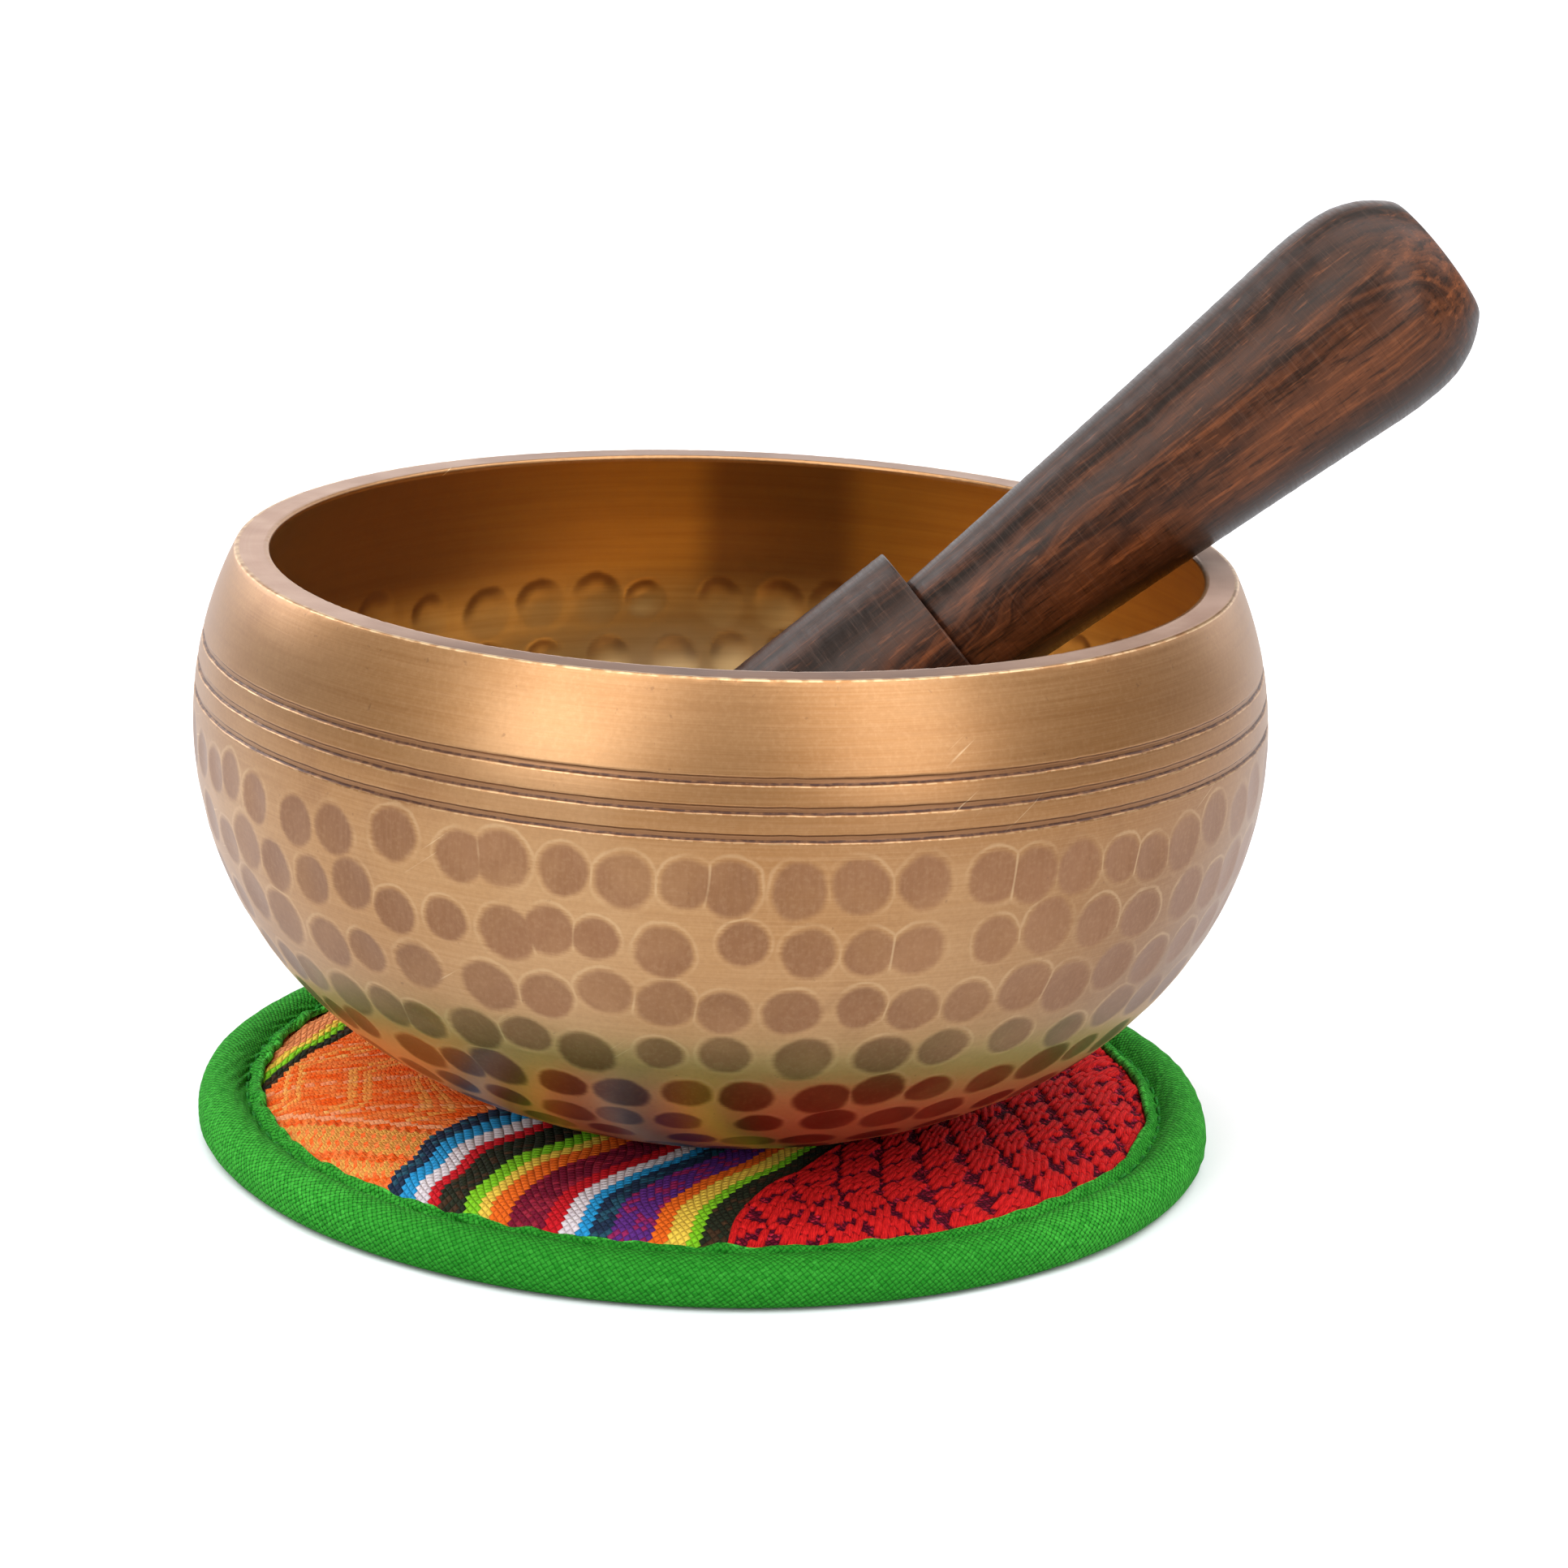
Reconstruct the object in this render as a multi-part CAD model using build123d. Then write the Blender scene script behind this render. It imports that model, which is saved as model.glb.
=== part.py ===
from build123d import *
import os
from math import acos, asin, cos, degrees, radians, sin

# A hammered bronze singing bowl on its round cloth mat, with a turned wooden mallet leaning in it.
# Millimetres, +Z up. The origin is the middle of the mat's underside; the bowl stands a little off it.

# Bowl: one wall of even thickness whose outside is three arcs, each tangent to the next
bowl_centre = (1.4, -0.3)     # of the bowl's axis, from the mat's centre
bowl_foot_height = 2.87       # underside of the bowl at its axis, pressed a little into the mat
rim_height = 62.6             # top of the flat lip
wall_thickness = 3.3
foot_arc_radius = 196.0       # almost flat middle of the underside
foot_arc_angle = 2.0
flank_arc_radius = 63.5       # lower wall
flank_arc_angle = 28.3
belly_arc_radius = 38.8       # widest part, leaning in to the lip
rim_rounding = 0.35
groove_heights = (48.4, 51.0, 53.7)
groove_width = 0.75
groove_depth = 0.4

# Mallet: it leans on the lip, with its head in the bowl
mallet_azimuth = 9.9          # direction that the handle points in, from +X towards +Y
mallet_elevation = 39.25
step_point = (23.8, 2.4, 53.68)   # where the axis passes the step between head and handle
head_radius = 11.3
head_length = 59.4
head_end_rounding = 1.5
head_step_rounding = 0.2
tenon_radius = 4.0
tenon_length = 24.0
glue_gap = 0.05
neck_radius = 7.32            # handle where it leaves the head
grip_flare_angle = 3.6
grip_curve_radius = 2300.0    # the flare opens very slightly towards the grip's end
grip_curve_angle = 1.27
knob_arc_radius = 38.7        # fullest part of the grip
knob_arc_angle = 8.65
shoulder_arc_radius = 11.0    # rounds over to the small flat end
shoulder_arc_angle = 44.6

# Mat: felt core between two cloths, its edge wrapped in a folded bias strip
mat_radius = 53.8
binding_inner_radius = 47.2
binding_height = 4.8
binding_thickness = 0.7
backing_thickness = 0.5
top_cloth_thickness = 0.7
mat_face_height = 4.1         # top of the striped cloth inside the binding
cloth_edge_radius = 51.3      # where the two cloths and the core end inside the binding
ply_gap = 0.05
bowl_seat_clearance = 0.3     # between the bowl's underside and the dish it presses into the mat
dish_patch_radius = 30.0      # round part of the top cloth that holds the dish
stitch_circle_radius = 48.3
stitch_count = 100
stitch_length = 2.0
thread_radius = 0.18


def arc_chain(start, segments):
    """Tangent arcs that leave start level and outwards, each turning upwards by its own angle."""
    arcs = []
    point, direction = start, (1, 0)
    for radius, angle in segments:
        arc = JernArc(start=point, tangent=direction, radius=radius, arc_size=angle)
        arcs.append(arc)
        point, direction = arc @ 1, arc % 1
    return arcs


def belly_centre():
    """Centre of the belly arc in the (radius, height) plane."""
    foot_turn = radians(foot_arc_angle)
    flank_turn = radians(foot_arc_angle + flank_arc_angle)
    reach = (foot_arc_radius - flank_arc_radius) * sin(foot_turn)
    reach += (flank_arc_radius - belly_arc_radius) * sin(flank_turn)
    height = bowl_foot_height + foot_arc_radius
    height -= (foot_arc_radius - flank_arc_radius) * cos(foot_turn)
    height -= (flank_arc_radius - belly_arc_radius) * cos(flank_turn)
    return reach, height


def belly_turn_at(height, radius):
    """Turn in degrees from the foot's horizontal to where a belly arc of this radius has this height."""
    _, centre_height = belly_centre()
    return degrees(acos((centre_height - height) / radius))


def bowl_wall_arcs(inset, top):
    """The wall's arcs, moved inwards by inset and cut at the height top."""
    belly_radius = belly_arc_radius - inset
    belly_angle = belly_turn_at(top, belly_radius) - foot_arc_angle - flank_arc_angle
    segments = (
        (foot_arc_radius - inset, foot_arc_angle),
        (flank_arc_radius - inset, flank_arc_angle),
        (belly_radius, belly_angle),
    )
    return arc_chain((0, bowl_foot_height + inset), segments)


def groove_outline(height):
    """V-shaped notch across the outer wall at one height, as (radius, height) corners."""
    reach, centre_height = belly_centre()
    tilt = asin((height - centre_height) / belly_arc_radius)
    corners = []
    for along, inward in ((-0.5, -0.2), (0.5, -0.2), (0.0, 1.0)):
        radius = belly_arc_radius - inward * groove_depth
        angle = tilt + along * groove_width / belly_arc_radius
        corners.append((reach + radius * cos(angle), centre_height + radius * sin(angle)))
    return corners


def make_bowl():
    """Revolved wall with rounded lip edges and three turned grooves."""
    outside = bowl_wall_arcs(0, rim_height)
    inside = bowl_wall_arcs(wall_thickness, rim_height)
    lip = Line(outside[-1] @ 1, inside[-1] @ 1)
    axis_line = Line(outside[0] @ 0, inside[0] @ 0)
    section = make_face(outside + inside + [lip, axis_line])
    lip_corners = section.vertices().sort_by(Axis.Y)[-2:]
    section = fillet(lip_corners, rim_rounding)
    for height in groove_heights:
        section -= make_face(Polyline(*groove_outline(height), close=True))
    return Pos(*bowl_centre) * revolve(Plane.XZ * section, Axis.Z)


def lean(part):
    """Place a mallet piece, made along +Z from the step, on the mallet's leaning axis."""
    azimuth, elevation = radians(mallet_azimuth), radians(mallet_elevation)
    axis = (cos(elevation) * cos(azimuth), cos(elevation) * sin(azimuth), sin(elevation))
    sideways = (-sin(azimuth), cos(azimuth), 0)
    return Plane(origin=step_point, x_dir=sideways, z_dir=axis) * part


def make_mallet_head():
    """Striker cylinder below the step, with a blind hole for the tenon."""
    body = Pos(0, 0, -head_length / 2) * Cylinder(head_radius, head_length)
    edges = body.edges().filter_by(GeomType.CIRCLE).sort_by(Axis.Z)
    body = fillet(edges[0], head_end_rounding)
    edges = body.edges().filter_by(GeomType.CIRCLE).sort_by(Axis.Z)
    body = fillet(edges[-1], head_step_rounding)
    hole_depth = tenon_length + glue_gap
    hole = Pos(0, 0, -hole_depth / 2) * Cylinder(tenon_radius + glue_gap, hole_depth)
    return lean(body - hole)


def make_mallet_handle():
    """Flared grip above the step, turned in one with its tenon."""
    flare = radians(grip_flare_angle)
    grip = JernArc((0, neck_radius), (cos(flare), sin(flare)), grip_curve_radius, grip_curve_angle)
    knob = JernArc(grip @ 1, grip % 1, knob_arc_radius, -knob_arc_angle)
    shoulder = JernArc(knob @ 1, knob % 1, shoulder_arc_radius, -shoulder_arc_angle)
    end = shoulder @ 1
    tenon_and_end = Polyline(
        (end.X, end.Y),
        (end.X, 0),
        (-tenon_length, 0),
        (-tenon_length, tenon_radius),
        (0, tenon_radius),
        (0, neck_radius),
    )
    section = make_face([grip, knob, shoulder, tenon_and_end])
    turned = revolve(section, Axis.X)
    return lean(Rot(0, -90, 0) * turned)


def make_backing_cloth():
    """Lining that lies on the table and steps up into the binding's fold."""
    step_start = binding_inner_radius - 1.0
    edge_height = binding_thickness + ply_gap
    outline = (
        (0, 0),
        (step_start, 0),
        (binding_inner_radius + ply_gap, edge_height),
        (cloth_edge_radius, edge_height),
        (cloth_edge_radius, edge_height + backing_thickness),
        (binding_inner_radius - ply_gap, edge_height + backing_thickness),
        (step_start, backing_thickness),
        (0, backing_thickness),
    )
    return revolve(Plane.XZ * make_face(Polyline(*outline, close=True)), Axis.Z)


def seat_arcs(drop):
    """Dish under the bowl: its underside, lowered by drop, as far out as the mat's flat face."""
    base = bowl_foot_height - drop
    flank_radius = flank_arc_radius + drop
    flank_centre = base + foot_arc_radius + drop
    flank_centre -= (foot_arc_radius - flank_arc_radius) * cos(radians(foot_arc_angle))
    seat_turn = degrees(acos((flank_centre - mat_face_height + drop - bowl_seat_clearance) / flank_radius))
    segments = ((foot_arc_radius + drop, foot_arc_angle), (flank_radius, seat_turn - foot_arc_angle))
    return arc_chain((0, base), segments)


def make_top_cloth():
    """Striped face cloth, dished where the bowl stands, a little off the mat's centre."""
    underside = mat_face_height - top_cloth_thickness
    lower = seat_arcs(bowl_seat_clearance + top_cloth_thickness)
    upper = seat_arcs(bowl_seat_clearance)
    outer = Polyline(
        upper[-1] @ 1, (dish_patch_radius, mat_face_height), (dish_patch_radius, underside), lower[-1] @ 1
    )
    middle = Line(lower[0] @ 0, upper[0] @ 0)
    patch = revolve(Plane.XZ * make_face(upper + lower + [outer, middle]), Axis.Z)
    hole = Cylinder(dish_patch_radius, 4 * mat_face_height)
    flat = Pos(0, 0, underside + top_cloth_thickness / 2) * Cylinder(cloth_edge_radius, top_cloth_thickness)
    return flat - Pos(*bowl_centre) * hole + Pos(*bowl_centre) * patch


def make_core():
    """Felt padding that fills the room between the two cloths."""
    top = mat_face_height - top_cloth_thickness
    edge_height = binding_thickness + ply_gap + backing_thickness
    outline = Polyline(
        (0, backing_thickness),
        (binding_inner_radius - 1.0, backing_thickness),
        (binding_inner_radius - ply_gap, edge_height),
        (cloth_edge_radius, edge_height),
        (cloth_edge_radius, top),
        (0, top),
        close=True,
    )
    pad = revolve(Plane.XZ * make_face(outline), Axis.Z)
    seat = seat_arcs(bowl_seat_clearance + top_cloth_thickness)
    rim = seat[-1] @ 1
    above = Polyline(rim, (rim.X, top + 1), (0, top + 1), seat[0] @ 0)
    return pad - Pos(*bowl_centre) * revolve(Plane.XZ * make_face(seat + [above]), Axis.Z)


def make_edge_binding():
    """Bias strip folded round the edge: two flat laps joined by a half-round outer fold."""
    fold_radius = binding_height / 2
    inner_fold_radius = fold_radius - binding_thickness
    fold_reach = mat_radius - fold_radius
    outside = ThreePointArc((fold_reach, 0), (mat_radius, fold_radius), (fold_reach, binding_height))
    inside = ThreePointArc(
        (fold_reach, binding_thickness),
        (fold_reach + inner_fold_radius, fold_radius),
        (fold_reach, binding_height - binding_thickness),
    )
    lower_lap = Polyline(
        (fold_reach, 0),
        (binding_inner_radius, 0),
        (binding_inner_radius, binding_thickness),
        (fold_reach, binding_thickness),
    )
    upper_lap = Polyline(
        (fold_reach, binding_height),
        (binding_inner_radius, binding_height),
        (binding_inner_radius, binding_height - binding_thickness),
        (fold_reach, binding_height - binding_thickness),
    )
    return revolve(Plane.XZ * make_face([outside, inside, lower_lap, upper_lap]), Axis.Z)


def make_edge_stitching():
    """Ring of short thread floats lying on the binding's upper lap."""
    thread_height = binding_height + thread_radius + ply_gap
    stitch = Pos(stitch_circle_radius, 0, thread_height) * Rot(90, 0, 0)
    stitch *= Cylinder(thread_radius, stitch_length)
    turn = 360 / stitch_count
    return Compound([Rot(0, 0, index * turn) * stitch for index in range(stitch_count)])


nodes = {
    "bowl": make_bowl,
    "mallet_head": make_mallet_head,
    "mallet_handle": make_mallet_handle,
    "mat_top_cloth": make_top_cloth,
    "mat_core": make_core,
    "mat_backing_cloth": make_backing_cloth,
    "edge_binding": make_edge_binding,
    "edge_stitching": make_edge_stitching,
}

os.makedirs("parts", exist_ok=True)
for node, make in nodes.items():
    shape = make()
    export_step(shape, f"parts/{node}.step")
    size = shape.bounding_box().size
    print(f"{node}: {size.X:.1f} x {size.Y:.1f} x {size.Z:.1f} mm, {shape.volume / 1000:.2f} cm3")
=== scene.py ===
"""Looks of a hammered singing bowl, its turned wooden mallet and its round cloth mat.

The frame's axes: +Z up, origin in the middle of the mat's underside, -Y to the front. Shapes are
worked out in millimetres; mesh_object turns them into the frame's metres.
"""

import math
from functools import partialmethod
from math import pi, radians

import bpy
import numpy as np
from mathutils import Matrix, Vector
from numpy import array, concatenate, cos, hypot, linspace, sin, stack


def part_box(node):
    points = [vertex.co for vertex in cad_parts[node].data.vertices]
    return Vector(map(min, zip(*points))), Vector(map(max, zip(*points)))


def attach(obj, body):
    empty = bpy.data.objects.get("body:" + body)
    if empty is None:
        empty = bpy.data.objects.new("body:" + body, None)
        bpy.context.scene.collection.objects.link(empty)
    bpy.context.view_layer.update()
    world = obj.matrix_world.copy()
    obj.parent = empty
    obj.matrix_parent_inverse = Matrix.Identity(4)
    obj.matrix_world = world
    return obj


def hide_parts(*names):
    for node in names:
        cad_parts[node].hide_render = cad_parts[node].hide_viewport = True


MM = 0.001
TURN = 2 * pi

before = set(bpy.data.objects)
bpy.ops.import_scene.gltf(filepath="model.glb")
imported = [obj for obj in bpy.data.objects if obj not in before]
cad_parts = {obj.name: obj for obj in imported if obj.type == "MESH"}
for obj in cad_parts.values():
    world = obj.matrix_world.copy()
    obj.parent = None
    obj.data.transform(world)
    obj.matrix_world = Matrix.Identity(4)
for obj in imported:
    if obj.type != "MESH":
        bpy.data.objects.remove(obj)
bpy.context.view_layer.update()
bowl_low, bowl_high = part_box("bowl")
_, binding_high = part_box("edge_binding")

# Bowl wall, as the frame has it: three tangent arcs outside, an even thickness, a flat lip
bowl_centre = array([(bowl_low.x + bowl_high.x) / 2, (bowl_low.y + bowl_high.y) / 2, 0.0]) / MM
foot_height, rim_height = bowl_low.z / MM, bowl_high.z / MM
wall_thickness = 3.3
foot_arc_radius, foot_arc_turn = 196.0, radians(2.0)
flank_arc_radius, flank_arc_turn = 63.5, radians(28.3)
belly_arc_radius = 38.8
rim_rounding = 0.35
groove_heights = (48.4, 51.0, 53.7)
groove_depth = 0.24

# Hammer marks, in rows that follow the wall downwards
outer_mark_top = 76.4   # first row, measured along the outside from the foot
inner_mark_top = 73.2   # first row inside, measured along the inside from its lowest point
lowest_mark = 7
mark_row_pitch = 6.6
mark_gaps = (5.7, 6.4, 7.7, 4.5)
mark_gap_shares = (0.4, 0.26, 0.19, 0.15)  # how often each gap comes
mark_half_width = 2.95
outer_mark_depth, outer_mark_lean = 0.13, 0.1
inner_mark_depth, inner_mark_lean = 0.19, 0.95
clear_of_marks = 3.0   # a place in a mark's own frame, well past its edge at 1

# Mallet, leaning over the lip
mallet_azimuth = radians(9.9)
mallet_elevation = radians(39.25)
step_place = Vector((23.8, 2.4, 53.68))
head_radius = 11.3
head_length = 59.4
head_rounding = 1.5
step_rounding = 0.25
tenon_radius = 4.0
tenon_length = 24.0
bore_clearance = 0.05
neck_radius = 7.32

# Mat
mat_radius = binding_high.x / MM
face_height = 4.1
face_edge = 48.3
pad_edge = 50.9
seam_radius = 48.65
stitch_count = 100


# ---- mesh helpers


def mesh_object(name, vertices, faces, material, layers=None, uvs=None):
    """Smooth mesh object; layers hold a number or vector per vertex, uvs a pair per face corner."""
    mesh = bpy.data.meshes.new(name)
    mesh.from_pydata((np.reshape(vertices, (-1, 3)) * MM).tolist(), [], faces)
    for layer, values in (layers or {}).items():
        values = np.asarray(values, np.float32)
        kind, slot = ("FLOAT_VECTOR", "vector") if values.ndim == 2 else ("FLOAT", "value")
        mesh.attributes.new(layer, kind, "POINT").data.foreach_set(slot, values.ravel())
    for layer, values in (uvs or {}).items():
        values = np.asarray(values, np.float32)
        mesh.uv_layers.new(name=layer).data.foreach_set("uv", values.ravel())
    mesh.materials.append(material)
    mesh.shade_smooth()
    piece = bpy.data.objects.new(name, mesh)
    bpy.context.scene.collection.objects.link(piece)
    return piece


def circle(count):
    """Angles of count places round a circle."""
    return np.arange(count) / count * TURN


def polar(radius, angle, height):
    """(x, y, z) of places at a distance from the axis, an angle round it and a height."""
    radius, angle, height = np.broadcast_arrays(radius, angle, height)
    return stack([radius * cos(angle), radius * sin(angle), height], -1)


def grid_faces(rows, columns, first=0):
    """Quads over rings of vertices, ring by ring, each ring joined round."""
    at = np.arange(rows * columns).reshape(rows, columns) + first
    after = np.roll(at, -1, axis=1)
    return stack([at[:-1], after[:-1], after[1:], at[1:]], -1).reshape(-1, 4).tolist()


def fan_faces(centre, ring, inwards):
    """Triangles that close a ring of vertices with one centre vertex."""
    ring = list(ring)
    pairs = zip(ring, ring[1:] + ring[:1])
    return [(centre, b, a) if inwards else (centre, a, b) for a, b in pairs]


def closed_faces(rows, columns):
    """Faces over rings of vertices, with a closing vertex for each end after them."""
    count = rows * columns
    closing = fan_faces(count, range(columns), True)
    closing += fan_faces(count + 1, range(count - columns, count), False)
    return grid_faces(rows, columns) + closing


def ripple(angle, lowest, highest, seed, count=9):
    """Smooth noise from -1 to 1 round a circle, in lowest to highest waves per turn."""
    rng = np.random.default_rng(seed)
    waves = rng.integers(lowest, highest + 1, count)
    phases = rng.uniform(0, TURN, count)
    total = sum(sin(w * angle + p) for w, p in zip(waves, phases))
    return total / math.sqrt(count * 2)


def smoothstep(value, low, high):
    """0 below low, 1 above high, smooth between; downwards if high is below low."""
    share = np.clip((value - low) / (high - low), 0, 1)
    return share * share * (3 - 2 * share)


def bell(value):
    """1 at 0, falling away smoothly on both sides."""
    return np.exp(-(value**2))


def placing(place, turns):
    """Matrix to a place after (angle, axis) turns, of which the last is made first."""
    matrix = Matrix.Translation(place)
    for angle, axis in turns:
        matrix = matrix @ Matrix.Rotation(angle, 4, axis)
    return matrix


# ---- node helpers


def feed(tree, node, inputs):
    """Set or link a node's inputs, by name or number; None leaves an input as it is."""
    for name, value in inputs.items():
        if isinstance(value, Wire):
            tree.links.new(value.socket, node.inputs[name])
        elif value is not None:
            node.inputs[name].default_value = value


def wired(tree, kind, inputs, output=0, **settings):
    """Wire out of a new node."""
    node = tree.nodes.new(kind)
    for name, value in settings.items():
        setattr(node, name, value)
    feed(tree, node, inputs)
    return Wire(tree, node.outputs[output])


class Wire:
    """A number or vector coming out of a node, so that materials read as arithmetic."""

    def __init__(self, tree, socket):
        self.tree, self.socket = tree, socket

    def math(self, operation, other=None):
        return wired(self.tree, "ShaderNodeMath", {0: self, 1: other}, operation=operation)

    __add__ = __radd__ = partialmethod(math, "ADD")
    __mul__ = __rmul__ = partialmethod(math, "MULTIPLY")
    __sub__ = partialmethod(math, "SUBTRACT")
    __truediv__ = partialmethod(math, "DIVIDE")
    __abs__ = partialmethod(math, "ABSOLUTE")

    def __rsub__(self, other):
        return self * -1.0 + other

    def ramp(self, low, high, to_low=0.0, to_high=1.0):
        """Smooth step from to_low at low to to_high at high."""
        inputs = dict(enumerate((self, low, high, to_low, to_high)))
        return wired(self.tree, "ShaderNodeMapRange", inputs, interpolation_type="SMOOTHSTEP")

    def vector(self, operation, other=None):
        output = "Value" if operation == "LENGTH" else 0
        inputs = {0: self, 1: other}
        return wired(self.tree, "ShaderNodeVectorMath", inputs, output, operation=operation)

    def parts(self):
        """The three numbers of a vector."""
        node = wired(self.tree, "ShaderNodeSeparateXYZ", {0: self}).socket.node
        return [Wire(self.tree, output) for output in node.outputs]


class Material:
    """A Principled material with short calls for the nodes that these finishes use."""

    def __init__(self, name, **settings):
        self.data = bpy.data.materials.new(name)
        self.data.use_nodes = True
        self.tree = self.data.node_tree
        self.set(**settings)

    def set(self, **sockets):
        """Set or link the shader's own sockets, with _ for the spaces in their names."""
        shader = next(n for n in self.tree.nodes if n.type == "BSDF_PRINCIPLED")
        inputs = {name.replace("_", " "): value for name, value in sockets.items()}
        feed(self.tree, shader, inputs)
        return self.data

    def new(self, kind, inputs=None, output=0, **settings):
        return wired(self.tree, kind, inputs or {}, output, **settings)

    def attribute(self, name, output="Fac"):
        return self.new("ShaderNodeAttribute", output=output, attribute_name=name)

    def uv(self, name):
        return self.new("ShaderNodeUVMap", uv_map=name)

    def position(self):
        place = self.new("ShaderNodeTexCoord", output="Object")
        return place.vector("MULTIPLY", (1 / MM, 1 / MM, 1 / MM))

    def combine(self, x, y, z=0.0):
        return self.new("ShaderNodeCombineXYZ", {"X": x, "Y": y, "Z": z})

    def noise(self, vector, scale, detail=3.0, roughness=0.5, distortion=0.0):
        """Smooth noise; scale is one number, or three for a stretched pattern."""
        if isinstance(scale, tuple):
            vector, scale = vector.vector("MULTIPLY", scale), 1.0
        inputs = {"Vector": vector, "Scale": scale, "Detail": detail}
        inputs.update({"Roughness": roughness, "Distortion": distortion})
        return self.new("ShaderNodeTexNoise", inputs)

    def white_noise(self, *places):
        return self.new("ShaderNodeTexWhiteNoise", {"Vector": self.combine(*places)}, "Value")

    def mix(self, share, first, second, blend="MIX"):
        """Colour mix; a colour is an (r, g, b) in linear light or a wire."""
        first, second = ((*c, 1.0) if isinstance(c, tuple) else c for c in (first, second))
        inputs = {0: share, 6: first, 7: second}
        return self.new("ShaderNodeMix", inputs, 2, data_type="RGBA", blend_type=blend)

    def layers(self, colour, *layers):
        """Mix layers over a colour in turn: (share, colour) or (share, red, green, blue)."""
        for share, *over in layers:
            colour = self.mix(share, colour, paint(over))
        return colour

    def colours(self, factor, stops, interpolation="LINEAR"):
        """Colour ramp over stops: (place, colour) or (place, red, green, blue)."""
        made = self.new("ShaderNodeValToRGB", {"Fac": factor})
        ramp = made.socket.node.color_ramp
        ramp.interpolation = interpolation
        while len(ramp.elements) < len(stops):
            ramp.elements.new(0.5)
        for element, (place, *colour) in zip(ramp.elements, stops):
            element.position, element.color = place, (*paint(colour), 1.0)
        return made

    def bump(self, height, distance, strength=1.0, normal=None):
        inputs = {"Height": height, "Distance": distance * MM}
        inputs.update({"Strength": strength, "Normal": normal})
        return self.new("ShaderNodeBump", inputs)


def rgb(red, green, blue):
    """Linear colour of an 8-bit display colour."""
    shares = (c / 255 for c in (red, green, blue))
    return tuple(s / 12.92 if s <= 0.04045 else ((s + 0.055) / 1.055) ** 2.4 for s in shares)


def paint(parts):
    """The colour or wire in a list of one, or the linear colour of three 8-bit numbers."""
    return rgb(*parts) if len(parts) == 3 else parts[0]


# ---- arithmetic for wires and arrays alike


def either(operation, on_arrays):
    """A function that runs a math node's operation on a wire, and on_arrays on numbers."""

    def run(value, *other):
        if isinstance(value, Wire):
            return value.math(operation, *other)
        return on_arrays(value, *other)

    return run


floor = either("FLOOR", np.floor)
square_root = either("SQRT", np.sqrt)
at_least = either("MAXIMUM", np.maximum)
below = either("LESS_THAN", lambda value, limit: (value < limit) * 1.0)  # 1 under the limit, else 0


def root(value):
    """Square root of value, or 0 where it is negative."""
    return square_root(at_least(value, 0.0))


def repeat(value, period):
    """value less whole periods."""
    return value - floor(value / period) * period


# ---- bowl


def facing(turn):
    """Outward (radius, height) direction where the outside has turned this far."""
    return stack([sin(turn), -cos(turn)], -1)


class Wall:
    """The bowl's wall, walked by the angle that the outside has turned from level."""

    def __init__(self):
        self.radii = array([foot_arc_radius, flank_arc_radius, belly_arc_radius])
        self.ends = np.cumsum([foot_arc_turn, flank_arc_turn])
        first = array([0.0, foot_height + foot_arc_radius])
        steps = -np.diff(self.radii)[:, None] * facing(self.ends)
        self.centres = np.cumsum([first, *steps], axis=0)

    def at(self, turn, inset=0.0):
        """(radius, height) points and outward normals."""
        arc = np.searchsorted(self.ends, turn, side="right")
        normal = facing(turn)
        return self.centres[arc] + (self.radii[arc] - inset)[:, None] * normal, normal

    def turn_at(self, height, inset=0.0):
        """Turn at which the belly arc, moved in by inset, has this height."""
        return math.acos((self.centres[2, 1] - height) / (self.radii[2] - inset))

    def length_to(self, turn, inset=0.0):
        """Length along the wall from its lowest point."""
        starts = concatenate([[0.0], self.ends])
        stops = concatenate([self.ends, [pi]])
        turn = np.atleast_1d(turn)[:, None]
        return (np.clip(turn, starts, stops) - starts) @ (self.radii - inset)


def spaced(values, gaps):
    """Numbers from the first to the last of values, about gaps[i] apart on stretch i."""
    runs = []
    for start, stop, gap in zip(values[:-1], values[1:], gaps):
        runs.append(linspace(start, stop, max(2, round(abs(stop - start) / gap) + 1))[:-1])
    return concatenate(runs + [[values[-1]]])


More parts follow.
